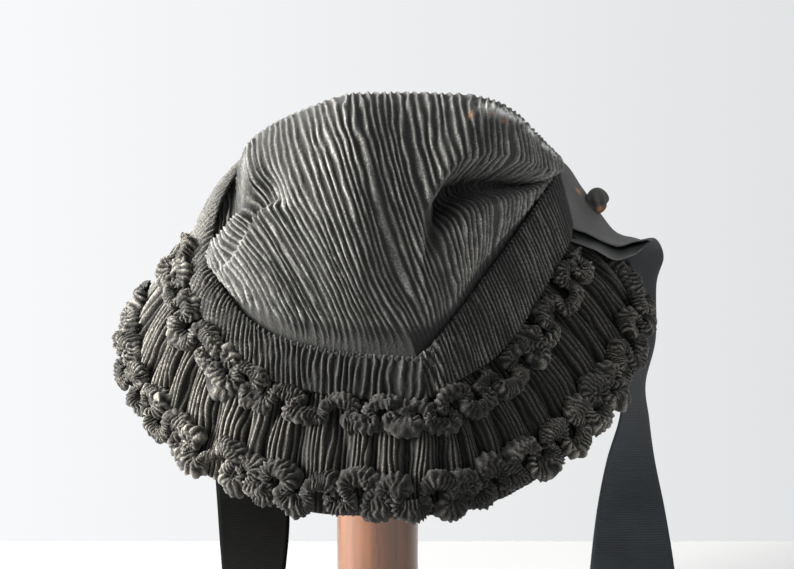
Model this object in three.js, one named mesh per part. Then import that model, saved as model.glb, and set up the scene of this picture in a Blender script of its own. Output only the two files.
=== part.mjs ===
// A mourning bonnet of black crape on a plain turned stand, in millimetres with +Z up.
// The origin is the centre of the stand's underside. The wearer would face +Y, so the
// soft crown and the gathered neck curtain face -Y, and the wearer's left is -X.
import * as THREE from "three";

// Cloth
const CRAPE_WALL = 1.6; // pleated crape on its net foundation
const RIBBON_WALL = 1.0; // ribbed silk ribbon
const GAP = 0.6; // left between one piece and the next
const TUCK = 4; // how far the bands are tucked under the crown

// Crown
const CROWN_TILT = THREE.MathUtils.degToRad(34.5); // the seam's plane, rising to the front
const CROWN_SEAT = 2.7; // the crown's edge stands this far above the bands' plane
const CROWN_EDGE = 0.985; // the crown stops this share of the way to its side points
const CROWN_CORE = new THREE.Vector3(5, -22, 232); // the folds press in towards this point
const CORNER_SOFTENING = 0.42; // the seam's corners are rounded off over this share of the crown
const LEFT_SIDE_POINT = 0.5; // where along the left seam the crown's sections end
const RIGHT_SIDE_POINT = 0.66;
const CROWN_STEPS = { up: 20, across: 30 };

// Bands
const BAND_BOW = 1.8;
const BAND_STEPS = { along: 30, across: 2 };

// Neck curtain
const CURTAIN_BOW = 4;
const GATHERS = 26;
const GATHER_DEPTH = 1.5;
const CURTAIN_STEPS = { along: 4 * GATHERS, down: 4 };

// Ruches: strips stood on edge and pushed into loops
const RUCHE_WALL = 1.5;
const RUCHE_FOOT = 3.4; // clear of the curtain's gathers
const LOOP_STEPS = 8; // wall pieces round one loop
const CROWN_RUCHE = { loops: 20, from: 0.055, to: 0.86, down: 0.2, high: 8, foot: 4, spread: 7 };
const HEM_RUCHE = { loops: 34, from: 0.025, to: 0.94, down: 0.93, high: 9, foot: 4.2, spread: 7.2 };
const LOOP_SWELL = 0.16; // share of a loop's length that its sides lean over the next

// Brim
const BRIM_DROP = 3.6; // the brim's root lies this far under the bands
const BRIM_INSET = 6.5; // and this far inside the seam
const BRIM_RIGHT_END = 0.46; // where along the right seam the brim begins
const BRIM_STEPS = { along: 30, out: 4 };

// Ribbon
const RIBBON_WIDTH = 41;
const RIBBON_LIFT = 1.8; // the ribbon's outer face above the brim
const RIBBON_STEPS = 40;
const TIE_STEPS = 26;

// Stand
const BASE = { radius: 78, height: 14, edge: 4 };
const POST = { radius: 20, foot: 26, top: 240 };
const HEAD = { radius: 41, bottom: 240.4, rim: 256, top: 286 };
const STAND_SIDES = 28;

// Sections from the nape round the wearer's left to the front: the seam where the crown
// meets the bands, the bands' outer edge, and the curtain's hem.
const LEFT_SECTIONS = [
  { at: "nape", seam: [19, -88, 186], band: [21, -97, 172], hem: [7, -113, 135] },
  { at: "low", seam: [-15, -80, 187], band: [-15, -91, 173], hem: [-31, -104, 135] },
  { at: "middle", seam: [-46, -66, 192], band: [-49, -77, 179], hem: [-69, -84, 143] },
  { at: "cheek", seam: [-67, -48, 205], band: [-76, -56, 199], hem: [-95, -57, 161] },
  { at: "side", seam: [-76, -25, 220], band: [-87, -28, 220], hem: [-108, -27, 182] },
  { at: "ear", seam: [-74, 2, 243], band: [-84, 0, 240], hem: [-103, 2, 204] },
  { at: "temple", seam: [-62, 25, 260], band: [-69, 24, 261] },
  { at: "forehead", seam: [-34, 45, 275], band: [-37, 50, 279] },
  { at: "front", seam: [11, 55, 283], band: [11, 62, 287] },
];
const RIGHT_SECTIONS = [
  { at: "nape", seam: [19, -88, 186], band: [21, -97, 172], hem: [7, -113, 135] },
  { at: "low", seam: [30, -76, 196], band: [34, -91, 178], hem: [40, -104, 135] },
  { at: "middle", seam: [46, -56, 212], band: [57, -68, 188], hem: [73, -86, 147] },
  { at: "cheek", seam: [66, -28, 232], band: [78, -36, 211], hem: [105, -52, 168] },
  { at: "side", seam: [83, 2, 252], band: [94, -4, 230], hem: [119, -18, 191] },
  { at: "temple", seam: [85, 24, 262], band: [94, 14, 243], hem: [119, 0, 198] },
  { at: "forehead", seam: [56, 45, 276], band: [60, 50, 279] },
  { at: "front", seam: [11, 55, 283], band: [11, 62, 287] },
];
const CURTAIN_END = { left: 5, right: 5 }; // the rows where the curtain stops

// How high the crown's cloth stands over the seam's plane, section by section across it:
// -1 is the left side point, 0 the middle and 1 the right side point.
const CROWN_SECTIONS = [
  { across: -1.0, high: 4 },
  { across: -0.82, high: 22 },
  { across: -0.7, high: 33 },
  { across: -0.6, high: 49 },
  { across: -0.45, high: 60 },
  { across: 0.0, high: 66.5 },
  { across: 0.45, high: 58 },
  { across: 0.66, high: 38 },
  { across: 0.84, high: 15 },
  { across: 1.0, high: 3 },
];

// The outline of every crown section from its nape end to its front end, as shares of the
// chord between them and of the section's height.
const CROWN_OUTLINE = [
  { along: 0.0, out: 0.0 },
  { along: 0.02, out: 0.42 },
  { along: 0.18, out: 0.84 },
  { along: 0.48, out: 1.0 },
  { along: 0.73, out: 0.71 },
  { along: 0.94, out: 0.31 },
  { along: 1.0, out: 0.0 },
];

// Folds that dent the crown: a groove from one place to another, each given as a share
// across (-1 to 1) and a share up the section (0 to 1), with its half width and depth.
const CROWN_FOLDS = [
  { name: "left tuck", from: { across: -0.86, up: 0.58 }, to: { across: -0.52, up: 0.38 }, wide: 0.11, deep: 12 },
  { name: "right pocket", from: { across: 0.2, up: 0.27 }, to: { across: 0.5, up: 0.27 }, wide: 0.09, deep: 11 },
  { name: "right crease", from: { across: 0.5, up: 0.27 }, to: { across: 0.92, up: 0.22 }, wide: 0.08, deep: 7 },
];

// The brim's front edge, from the wearer's left cheek over the top to the right cheek.
const BRIM_EDGE = [
  { at: "left cheek", edge: [-74, 56, 166] },
  { at: "left ear", edge: [-84, 74, 196] },
  { at: "left temple", edge: [-82, 90, 230] },
  { at: "left forehead", edge: [-58, 103, 260] },
  { at: "front", edge: [9, 112, 275] },
  { at: "right forehead", edge: [72, 103, 260] },
  { at: "right temple", edge: [93, 90, 230] },
  { at: "right ear", edge: [96, 74, 196] },
  { at: "right cheek", edge: [88, 56, 166] },
];

// The ribbon's two edges where it leaves the brim on the right and is drawn out over the
// end of the curtain.
const RIBBON_RIGHT = [
  { at: "forehead", back: [73, 48, 272], front: [80, 86, 262] },
  { at: "temple", back: [90, 20, 263], front: [92, 60, 257] },
  { at: "ear", back: [97, 5, 247], front: [103, 43, 239] },
  { at: "curtain", back: [99, -14, 234], front: [115, 27, 229] },
  { at: "sag", back: [107, -17, 224], front: [120, 24, 223] },
  { at: "low", back: [118, -14, 218], front: [128, 28, 222] },
  { at: "turn", back: [130, -6, 225], front: [135, 34, 223] },
];
// The right tie starts under the ribbon, turns over the curtain's end and twists as it hangs.
const TIE_RIGHT = [
  { at: "sewn end", back: [102, -19, 227], front: [115, 22, 221] },
  { at: "low", back: [118, -18, 213], front: [127, 24, 218] },
  { at: "rise", back: [129, -9, 221], front: [133, 32, 219] },
  { at: "turn", back: [134, -6, 224], front: [138, 34, 220] },
  { at: "over", back: [136, -6, 212], front: [140, 34, 209] },
  { at: "hang", back: [133, -7, 192], front: [138, 33, 190] },
  { at: "narrow", back: [125, -10, 157], front: [132, 30, 157] },
  { at: "twist", back: [113, -12, 122], front: [133, 23, 122] },
  { at: "open", back: [108, -10, 95], front: [139, 16, 95] },
  { at: "end", back: [106, -4, 53], front: [146, 4, 53] },
];
const TIE_LEFT = [
  { at: "sewn end", back: [-84, 17, 200], front: [-84, 52, 178] },
  { at: "brim", back: [-82, 18, 186], front: [-82, 53, 164] },
  { at: "loose", back: [-72, 20, 156], front: [-80, 56, 142] },
  { at: "twist", back: [-59, 22, 128], front: [-83, 54, 124] },
  { at: "open", back: [-50, 30, 100], front: [-85, 48, 98] },
  { at: "face", back: [-46, 35, 78], front: [-84, 44, 77] },
  { at: "end", back: [-49, 31, 40], front: [-83, 50, 40] },
];

const KNOT = { at: [111, 37, 243], size: [4.6, 5.4, 6.6], sides: 10, rows: 7 };

const SEAM_NORMAL = new THREE.Vector3(0, -Math.sin(CROWN_TILT), Math.cos(CROWN_TILT));

const { clamp, lerp } = THREE.MathUtils;

// A smooth curve through one column of a table.
function curveThrough(rows, column) {
  const points = rows.map((row) => new THREE.Vector3(...row[column]));
  return new THREE.CatmullRomCurve3(points, false, "catmullrom", 0.5);
}

// One column of a table read smoothly at a place between its rows.
function readAt(rows, key, column, place) {
  const last = rows.length - 1;
  let i = 0;
  while (i < last - 1 && place > rows[i + 1][key]) i += 1;
  const t = clamp((place - rows[i][key]) / (rows[i + 1][key] - rows[i][key]), 0, 1);
  return lerp(rows[i][column], rows[i + 1][column], t * t * (3 - 2 * t));
}

const seam = { left: curveThrough(LEFT_SECTIONS, "seam"), right: curveThrough(RIGHT_SECTIONS, "seam") };
const bandEdge = { left: curveThrough(LEFT_SECTIONS, "band"), right: curveThrough(RIGHT_SECTIONS, "band") };

// A closed wall. point(u, v) gives its outer face for u and v from 0 to 1, and the inner
// face lies one thickness behind it.
function wall(point, stepsU, stepsV, thickness) {
  const step = 1e-3;
  const outer = [];
  const inner = [];
  for (let i = 0; i <= stepsU; i++) {
    for (let j = 0; j <= stepsV; j++) {
      const [u, v] = [i / stepsU, j / stepsV];
      const place = point(u, v);
      const alongU = point(Math.min(u + step, 1), v).sub(point(Math.max(u - step, 0), v));
      const alongV = point(u, Math.min(v + step, 1)).sub(point(u, Math.max(v - step, 0)));
      const normal = alongU.cross(alongV).normalize();
      outer.push(place);
      inner.push(place.clone().addScaledVector(normal, -thickness));
    }
  }
  const row = stepsV + 1;
  const behind = outer.length;
  const triangles = [];
  const quad = (a, b, c, d) => triangles.push(a, b, c, a, c, d);
  for (let i = 0; i < stepsU; i++) {
    for (let j = 0; j < stepsV; j++) {
      const [a, b, c, d] = [i * row + j, (i + 1) * row + j, (i + 1) * row + j + 1, i * row + j + 1];
      quad(a, b, c, d);
      quad(behind + a, behind + d, behind + c, behind + b);
    }
  }
  const rim = (a, b) => quad(b, a, behind + a, behind + b);
  for (let i = 0; i < stepsU; i++) {
    rim(i * row, (i + 1) * row);
    rim((i + 1) * row + stepsV, i * row + stepsV);
  }
  for (let j = 0; j < stepsV; j++) {
    rim(j + 1, j);
    rim(stepsU * row + j, stepsU * row + j + 1);
  }
  const geometry = new THREE.BufferGeometry().setFromPoints([...outer, ...inner]);
  geometry.setIndex(triangles);
  geometry.computeVertexNormals();
  return geometry;
}

// A point of the seam moved in its plane towards the middle of the crown.
function inwards(point, distance) {
  const towards = CROWN_CORE.clone().sub(point).projectOnPlane(SEAM_NORMAL).normalize();
  return point.addScaledVector(towards, distance);
}

// The crown's two seam points for a section across it.
function crownChord(across) {
  const side = across < 0 ? "left" : "right";
  const sidePoint = across < 0 ? LEFT_SIDE_POINT : RIGHT_SIDE_POINT;
  const share = Math.min(Math.abs(across), 1);
  const nape = seam[side].getPoint(sidePoint * share).addScaledVector(SEAM_NORMAL, CROWN_SEAT);
  const front = seam[side].getPoint(1 - (1 - sidePoint) * share).addScaledVector(SEAM_NORMAL, CROWN_SEAT);
  return { nape, front };
}

// The nape or front end of a section with the corner of the seam rounded off.
function softEnd(across, end) {
  const reach = CORNER_SOFTENING * Math.max(0, 1 - Math.abs(across) / 0.9);
  const sum = new THREE.Vector3();
  for (const part of [-1, -0.5, 0, 0.5, 1]) sum.add(crownChord(across + part * reach)[end]);
  return sum.divideScalar(5);
}

// How deep the folds press the crown in at a place on it.
function foldDepth(across, up) {
  let depth = 0;
  for (const fold of CROWN_FOLDS) {
    const run = { across: fold.to.across - fold.from.across, up: fold.to.up - fold.from.up };
    const reach = (across - fold.from.across) * run.across + (up - fold.from.up) * run.up;
    const share = clamp(reach / (run.across ** 2 + run.up ** 2), 0, 1);
    const off = Math.hypot(across - fold.from.across - share * run.across, up - fold.from.up - share * run.up);
    depth += fold.deep * Math.exp(-((off / fold.wide) ** 2));
  }
  return depth;
}

function crownPoint(up, share) {
  const across = lerp(-CROWN_EDGE, CROWN_EDGE, share);
  const { nape, front } = crownChord(across);
  const high = readAt(CROWN_SECTIONS, "across", "high", across);
  const outline = crownOutline.getPoint(up);
  const free = Math.min(1, outline.y / 0.5);
  const start = nape.lerp(softEnd(across, "nape"), free);
  const end = front.lerp(softEnd(across, "front"), free);
  const point = start.lerp(end, outline.x).addScaledVector(SEAM_NORMAL, outline.y * high);
  const towards = CROWN_CORE.clone().sub(point).normalize();
  const loose = free * clamp((1 - Math.abs(across)) / 0.15, 0, 1);
  return point.addScaledVector(towards, foldDepth(across, up) * loose);
}

const crownOutline = new THREE.CatmullRomCurve3(
  CROWN_OUTLINE.map((row) => new THREE.Vector3(row.along, row.out, 0)),
  false,
  "catmullrom",
  0.5,
);

// A band strip from the nape round one side to the front, bowed a little between its edges.
function bandPoint(side, along, across) {
  const place = lerp(0.002, 0.998, along);
  const point = inwards(seam[side].getPoint(place), TUCK).lerp(bandEdge[side].getPoint(place), across);
  return point.addScaledVector(SEAM_NORMAL, BAND_BOW * Math.sin(Math.PI * across));
}

const curtainRows = [
  ...LEFT_SECTIONS.slice(0, CURTAIN_END.left + 1).reverse(),
  ...RIGHT_SECTIONS.slice(1, CURTAIN_END.right + 1),
];
const curtainTop = curveThrough(curtainRows, "band");
const curtainHem = curveThrough(curtainRows, "hem");

// The curtain without its gathers: along from the left end to the right end, down from
// under the bands to the hem.
function curtainSurface(along, down) {
  const top = curtainTop.getPoint(along).addScaledVector(SEAM_NORMAL, -CRAPE_WALL - GAP);
  const hem = curtainHem.getPoint(along);
  const outwards = new THREE.Vector3(hem.x - top.x, hem.y - top.y, 0).normalize();
  return top.lerp(hem, down).addScaledVector(outwards, CURTAIN_BOW * Math.sin(Math.PI * down));
}

// The curtain's place, directions and outward normal at one spot.
function curtainFrame(along, down) {
  const step = 1e-3;
  const place = curtainSurface(along, down);
  const run = curtainSurface(Math.min(along + step, 1), down).sub(curtainSurface(Math.max(along - step, 0), down));
  const fall = curtainSurface(along, down + step).sub(curtainSurface(along, down - step));
  const out = fall.clone().cross(run).normalize();
  return { place, run: run.normalize(), fall: fall.normalize(), out };
}

function curtainPoint(down, along) {
  const { place, out } = curtainFrame(along, down);
  const slack = 0.35 + 0.65 * Math.sin(Math.PI * down);
  return place.addScaledVector(out, GATHER_DEPTH * slack * Math.cos(2 * Math.PI * GATHERS * along));
}

// One ruche: a strip stood on the curtain, its loops spreading from foot to free edge.
function ruche(size) {
  const length = curtainTop.getLength() * (size.to - size.from);
  const swell = (LOOP_SWELL * length) / size.loops;
  const point = (along, rise) => {
    const { place, run, fall, out } = curtainFrame(lerp(size.from, size.to, along), size.down);
    const turn = 2 * Math.PI * size.loops * along;
    return place
      .addScaledVector(out, RUCHE_FOOT + size.high * rise)
      .addScaledVector(fall, lerp(size.foot, size.spread, rise) * Math.sin(turn))
      .addScaledVector(run, -swell * rise * Math.sin(2 * turn));
  };
  return wall(point, size.loops * LOOP_STEPS, 1, RUCHE_WALL);
}

const brimEdge = curveThrough(BRIM_EDGE, "edge");

// The brim's root runs under the bands from the left side over the front to the right.
function brimRoot(along) {
  const left = along < 0.5;
  const place = left
    ? lerp(LEFT_SIDE_POINT, 1, along * 2)
    : lerp(1, BRIM_RIGHT_END, along * 2 - 1);
  const root = inwards(seam[left ? "left" : "right"].getPoint(place), BRIM_INSET);
  return root.addScaledVector(SEAM_NORMAL, -BRIM_DROP);
}

function brimPoint(along, out) {
  return brimRoot(along).lerp(brimEdge.getPoint(along), out);
}

function brimNormal(along, out) {
  const step = 1e-3;
  const run = brimPoint(Math.min(along + step, 1), out).sub(brimPoint(Math.max(along - step, 0), out));
  const forward = brimPoint(along, out + step).sub(brimPoint(along, out - step));
  return run.cross(forward).normalize();
}

// The ribbon's edges on the brim, where its middle lies a share of the way out.
function ribbonOnBrim(along) {
  const length = brimRoot(along).distanceTo(brimEdge.getPoint(along));
  const middle = lerp(0.68, 0.6, Math.min(1, along * 2));
  const half = RIBBON_WIDTH / 2 / length;
  const edge = (out) => brimPoint(along, out).addScaledVector(brimNormal(along, out), RIBBON_LIFT);
  return { back: edge(middle - half).toArray(), front: edge(middle + half).toArray() };
}

const RIBBON_BRIM_ROWS = 12;
const RIBBON_BRIM_END = 0.56; // the share of the brim that the ribbon follows
const ribbonRows = [
  ...Array.from({ length: RIBBON_BRIM_ROWS }, (_, i) => ribbonOnBrim(lerp(0.02, RIBBON_BRIM_END, i / 11))),
  ...RIBBON_RIGHT,
];

// A ribbon between two edge curves, as a flat wall.
function ribbon(rows, steps) {
  const back = curveThrough(rows, "back");
  const front = curveThrough(rows, "front");
  return wall((along, across) => front.getPoint(along).lerp(back.getPoint(along), across), steps, 1, RIBBON_WALL);
}

// A small knot of folded ribbon: a rounded form with shallow flutes.
function knot() {
  const geometry = new THREE.SphereGeometry(1, KNOT.sides, KNOT.rows);
  const position = geometry.getAttribute("position");
  const spot = new THREE.Vector3();
  for (let i = 0; i < position.count; i++) {
    spot.fromBufferAttribute(position, i);
    const flute = 1 + 0.08 * Math.cos(5 * Math.atan2(spot.z, spot.x)) * (1 - spot.y ** 2);
    position.setXYZ(i, spot.x * flute * KNOT.size[0], spot.y * KNOT.size[1], spot.z * flute * KNOT.size[2]);
  }
  return geometry;
}

// A turned piece from radius and height pairs, standing along +Z.
function turned(outline) {
  const points = outline.map(([radius, height]) => new THREE.Vector2(radius, height));
  return new THREE.LatheGeometry(points, STAND_SIDES).rotateX(Math.PI / 2);
}

const stand = {
  base: turned([
    [0, 0],
    [BASE.radius - 2, 0],
    [BASE.radius, 2],
    [BASE.radius, BASE.height - BASE.edge],
    [BASE.radius - BASE.edge, BASE.height],
    [0, BASE.height],
  ]),
  post: turned([
    [0, BASE.height + GAP],
    [POST.foot, BASE.height + GAP],
    [POST.foot - 1, BASE.height + 5],
    [POST.radius, BASE.height + 11],
    [POST.radius, POST.top],
    [0, POST.top],
  ]),
  head: turned([
    [0, HEAD.bottom],
    [POST.radius + 3, HEAD.bottom],
    [HEAD.radius - 3, HEAD.rim - 6],
    [HEAD.radius, HEAD.rim],
    [HEAD.radius * 0.92, lerp(HEAD.rim, HEAD.top, 0.4)],
    [HEAD.radius * 0.71, lerp(HEAD.rim, HEAD.top, 0.72)],
    [HEAD.radius * 0.38, lerp(HEAD.rim, HEAD.top, 0.94)],
    [0, HEAD.top],
  ]),
};

const crape = new THREE.MeshStandardMaterial({ color: 0x2b2a27, roughness: 0.92, metalness: 0 });
const silk = new THREE.MeshStandardMaterial({ color: 0x1d1e20, roughness: 0.7, metalness: 0 });
const wood = new THREE.MeshStandardMaterial({ color: 0x7a4a33, roughness: 0.45, metalness: 0 });

const bonnet = new THREE.Group();

function place(name, geometry, material, position = [0, 0, 0]) {
  const mesh = new THREE.Mesh(geometry, material);
  mesh.name = name;
  mesh.position.set(...position);
  bonnet.add(mesh);
}

place("crown", wall((u, v) => crownPoint(u, 1 - v), CROWN_STEPS.up, CROWN_STEPS.across, CRAPE_WALL), crape);
place("band_left", wall((u, v) => bandPoint("left", u, v), BAND_STEPS.along, BAND_STEPS.across, CRAPE_WALL), crape);
place("band_right", wall((u, v) => bandPoint("right", u, 1 - v), BAND_STEPS.along, BAND_STEPS.across, CRAPE_WALL), crape);
place("curtain", wall(curtainPoint, CURTAIN_STEPS.down, CURTAIN_STEPS.along, CRAPE_WALL), crape);
place("ruche_crown", ruche(CROWN_RUCHE), crape);
place("ruche_hem", ruche(HEM_RUCHE), crape);
place("brim", wall((u, v) => brimPoint(u, v), BRIM_STEPS.along, BRIM_STEPS.out, CRAPE_WALL), crape);
place("ribbon_band", ribbon(ribbonRows, RIBBON_STEPS), silk);
place("tie_right", ribbon(TIE_RIGHT, TIE_STEPS), silk);
place("tie_left", ribbon(TIE_LEFT, TIE_STEPS), silk);
place("ribbon_knot", knot(), silk, KNOT.at);
place("stand_base", stand.base, wood);
place("stand_post", stand.post, wood);
place("stand_head", stand.head, wood);

export default bonnet;
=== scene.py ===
# %% [markdown]
# # A mourning bonnet of black crape
#
# The bonnet stands on a plain post and is seen from behind. Its soft crown, the two bands that
# meet in a V at the nape, the gathered neck curtain and the two ruches are all pleated crape.
# A smooth ribbed ribbon lies over the brim and hangs down as two ties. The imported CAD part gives
# the frame, and this lesson dresses it with real cloth, cut flat and laid into shape.

import math

import bpy
import numpy as np
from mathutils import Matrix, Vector


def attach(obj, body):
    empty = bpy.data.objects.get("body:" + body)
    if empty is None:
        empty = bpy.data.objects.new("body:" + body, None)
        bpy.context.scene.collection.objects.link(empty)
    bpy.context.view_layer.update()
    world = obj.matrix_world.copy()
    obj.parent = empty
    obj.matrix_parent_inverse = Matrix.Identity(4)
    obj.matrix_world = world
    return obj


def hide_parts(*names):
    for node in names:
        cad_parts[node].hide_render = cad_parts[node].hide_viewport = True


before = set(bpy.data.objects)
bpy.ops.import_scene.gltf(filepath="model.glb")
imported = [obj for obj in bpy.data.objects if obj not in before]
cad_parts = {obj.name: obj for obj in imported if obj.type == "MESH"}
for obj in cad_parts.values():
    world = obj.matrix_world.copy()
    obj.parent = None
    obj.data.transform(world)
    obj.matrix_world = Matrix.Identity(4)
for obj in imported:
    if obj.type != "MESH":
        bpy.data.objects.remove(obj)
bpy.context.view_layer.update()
MM = 0.001
print("CAD nodes:", sorted(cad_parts))

# %% [markdown]
# ## The bonnet's lines
#
# A milliner marks a bonnet by lines round the head. Each list below is one line, as points in
# millimetres: the seam between crown and band, the band's outer edge, or the curtain's hem.
# The two sides are kept apart, because the bands meet in a sharp corner at the nape.

# %% Lines from the nape round to the front
LEFT_SEAM = [
    (19, -88, 186), (-15, -80, 187), (-46, -66, 192), (-67, -48, 205), (-76, -25, 220),
    (-74, 2, 243), (-62, 25, 260), (-34, 45, 275), (11, 55, 283),
]
LEFT_BAND = [
    (21, -97, 172), (-15, -91, 173), (-49, -77, 179), (-76, -56, 199), (-87, -28, 220),
    (-84, 0, 240), (-69, 24, 261), (-37, 50, 279), (11, 62, 287),
]
LEFT_HEM = [
    (7, -113, 135), (-31, -104, 135), (-69, -84, 143),
    (-98, -58, 160), (-113, -27, 181), (-106, 2, 204),
]
RIGHT_SEAM = [
    (19, -88, 186), (30, -76, 196), (46, -56, 212), (66, -28, 232), (83, 2, 252),
    (85, 24, 262), (56, 45, 276), (11, 55, 283),
]
RIGHT_BAND = [
    (21, -97, 172), (34, -91, 178), (57, -68, 188), (78, -36, 211), (93, -4, 230),
    (89, 16, 244), (60, 50, 279), (11, 62, 287),
]
RIGHT_HEM = [
    (7, -113, 135), (40, -104, 135), (73, -86, 147), (105, -52, 168), (121, -18, 191), (122, 3, 199),
]
SEAM_TILT = math.radians(34.5)
SEAM_NORMAL = np.array([0, -math.sin(SEAM_TILT), math.cos(SEAM_TILT)])
CROWN_CORE = np.array([5, -22, 232.0])

# %% Curves and steps
def curve_through(points, share):
    """Places on a smooth curve through the points, at shares of its length in rows from 0 to 1."""
    points = np.asarray(points, float)
    ends = np.vstack([2 * points[0] - points[1], points, 2 * points[-1] - points[-2]])
    place = np.clip(share, 0, 1) * (len(points) - 1)
    row = np.minimum(place.astype(int), len(points) - 2)
    t = (place - row)[..., None]
    a, b, c, d = (ends[row + k] for k in range(4))
    square, cube = 2 * a - 5 * b + 4 * c - d, 3 * b - a - 3 * c + d
    return 0.5 * (2 * b + (c - a) * t + square * t**2 + cube * t**3)


def smooth(t):
    """An even step from 0 to 1."""
    t = np.clip(t, 0, 1)
    return t * t * (3 - 2 * t)


def read_table(rows, column, place):
    """One column of a table read smoothly between its rows; the first column is the place."""
    places = np.array([row[0] for row in rows], float)
    values = np.array([row[column] for row in rows], float)
    slopes = np.gradient(values, places)
    i = np.clip(np.searchsorted(places, place) - 1, 0, len(places) - 2)
    width = places[i + 1] - places[i]
    t = np.clip((place - places[i]) / width, 0, 1)
    bend = slopes[i] * t * (1 - t) ** 2 - slopes[i + 1] * t**2 * (1 - t)
    return values[i] + (values[i + 1] - values[i]) * smooth(t) + width * bend


def inset(points, distance):
    """Points of the seam moved in its plane towards the middle of the crown."""
    towards = CROWN_CORE - points
    towards -= np.outer(towards @ SEAM_NORMAL, SEAM_NORMAL)
    return points + distance * towards / np.linalg.norm(towards, axis=1, keepdims=True)


print("seam points left and right:", len(LEFT_SEAM), len(RIGHT_SEAM))

# %% [markdown]
# ## How cloth is cut and laid
#
# Every soft piece starts as a flat cut: Blender's grid, which also brings the cloth its own UV
# map. Its points are then laid into place by functions of the cloth's own two coordinates, so
# pleats can follow the cloth. Solidify gives the wall its thickness. A cloth simulation could
# drape a smooth sheet, but it could not hold hundreds of sharp set pleats, so the folds are
# laid in code.

# %% Helpers for cloth
def cut_cloth(name, columns, rows):
    """Adds a flat cut of cloth. Returns it with each point's place along and up the cut, 0 to 1."""
    bpy.ops.object.select_all(action="DESELECT")
    bpy.ops.mesh.primitive_grid_add(x_subdivisions=columns, y_subdivisions=rows, size=1.0)
    piece = bpy.context.object
    piece.name = name
    piece.data.name = name
    flat = np.empty(3 * len(piece.data.vertices))
    piece.data.vertices.foreach_get("co", flat)
    along, up = flat.reshape(-1, 3)[:, :2].T + 0.5
    return piece, along, up


def normals_of(points, columns):
    """Unit normals of a laid cut, from its neighbours along and up."""
    net = points.reshape(-1, columns + 1, 3)
    normal = np.cross(np.gradient(net, axis=1), np.gradient(net, axis=0)).reshape(-1, 3)
    return normal / np.maximum(np.linalg.norm(normal, axis=1, keepdims=True), 1e-9)


def drift(along, up, cells_along, cells_up, seed):
    """Smooth seeded unevenness from -1 to 1 over a cut."""
    table = np.random.default_rng(seed).uniform(-1, 1, (cells_along + 2, cells_up + 2))
    x, y = np.clip(along, 0, 1) * cells_along, np.clip(up, 0, 1) * cells_up
    i, j = x.astype(int), y.astype(int)
    s, t = smooth(x - i), smooth(y - j)
    low = table[i, j] * (1 - s) + table[i + 1, j] * s
    high = table[i, j + 1] * (1 - s) + table[i + 1, j + 1] * s
    return low * (1 - t) + high * t


def store_mark(mesh, mark, values):
    """Stores one value for each point, for the finish to read."""
    stored = mesh.attributes.new(mark, "FLOAT", "POINT")
    stored.data.foreach_set("value", np.asarray(values, np.float32))


def lay_cloth(piece, points, wall, **marks):
    """Lays the cut at its points in mm, stores the marks that the finish reads and adds the wall."""
    mesh = piece.data
    for mark, values in marks.items():
        store_mark(mesh, mark, values)
    mesh.vertices.foreach_set("co", (points * MM).ravel())
    mesh.update()
    bpy.ops.object.select_all(action="DESELECT")
    piece.select_set(True)
    bpy.context.view_layer.objects.active = piece
    thicken = piece.modifiers.new("wall", "SOLIDIFY")
    thicken.thickness = wall * MM
    thicken.offset = -1
    bpy.ops.object.modifier_apply(modifier="wall")
    bpy.ops.object.shade_smooth()
    print(piece.name, "triangles:", 2 * len(piece.data.polygons))


def dress(piece, node, material):
    """Gives a finished piece its material and puts it in place of its CAD node."""
    piece.data.materials.clear()
    piece.data.materials.append(material)
    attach(piece, "root")
    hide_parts(node)


# %% Helpers for pleats and painted side light
MIDDLE_X = 10
SIDE_LIGHT_FROM, SIDE_LIGHT_WIDTH = 30, 55


def painted_side_light(points):
    """Painted light and shade: how near a point is to the two sides, painted lighter than the shaded
    middle.
    """
    return smooth((np.abs(points[:, 0] - MIDDLE_X) - SIDE_LIGHT_FROM) / SIDE_LIGHT_WIDTH)


def pleat_ridge(phase, sharpness):
    """The section of a row of pleats: 1 on each crest, 0 in each valley."""
    return (0.5 + 0.5 * np.cos(2 * math.pi * phase)) ** sharpness


def length_along(points):
    """Running length of a line of points."""
    steps = np.linalg.norm(np.diff(points, axis=0), axis=1)
    return np.concatenate([[0], np.cumsum(steps)])


# %% [markdown]
# ## Finishes shared by the cloth
#
# Silk crape has a crimped surface: tiny crinkles that break the light. Old black crape has also
# faded to a warm grey in patches. Both effects are node groups, so that each cloth can use them
# with its own values.

# %% Node groups
def group_of(name, inputs, outputs):
    """An empty shader node group with named sockets and its two end nodes."""
    group = bpy.data.node_groups.new(name, "ShaderNodeTree")
    for label, value in inputs.items():
        socket = group.interface.new_socket(label, in_out="INPUT", socket_type="NodeSocketFloat")
        socket.default_value = value
    for label in outputs:
        group.interface.new_socket(label, in_out="OUTPUT", socket_type="NodeSocketFloat")
    return group, group.nodes.new("NodeGroupInput"), group.nodes.new("NodeGroupOutput")


def math_node(tree, operation, first, second=None):
    """A Math node on two values or sockets; returns its output."""
    node = tree.nodes.new("ShaderNodeMath")
    node.operation = operation
    for socket, value in zip(node.inputs, (first, second)):
        if isinstance(value, (int, float)):
            socket.default_value = value
        elif value is not None:
            tree.links.new(value, socket)
    return node.outputs[0]


def noise_node(tree, vector, scale, detail, roughness=0.5):
    """A Noise texture on the given coordinates; returns its value."""
    node = tree.nodes.new("ShaderNodeTexNoise")
    tree.links.new(vector, node.inputs["Vector"])
    if isinstance(scale, (int, float)):
        node.inputs["Scale"].default_value = scale
    else:
        tree.links.new(scale, node.inputs["Scale"])
    node.inputs["Detail"].default_value = detail
    node.inputs["Roughness"].default_value = roughness
    return node.outputs["Fac"]


def spread(tree, value, low, high):
    """Stretches the part of a value from low to high over 0 to 1."""
    node = tree.nodes.new("ShaderNodeMapRange")
    tree.links.new(value, node.inputs["Value"])
    node.inputs["From Min"].default_value = low
    node.inputs["From Max"].default_value = high
    return node.outputs["Result"]


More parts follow.
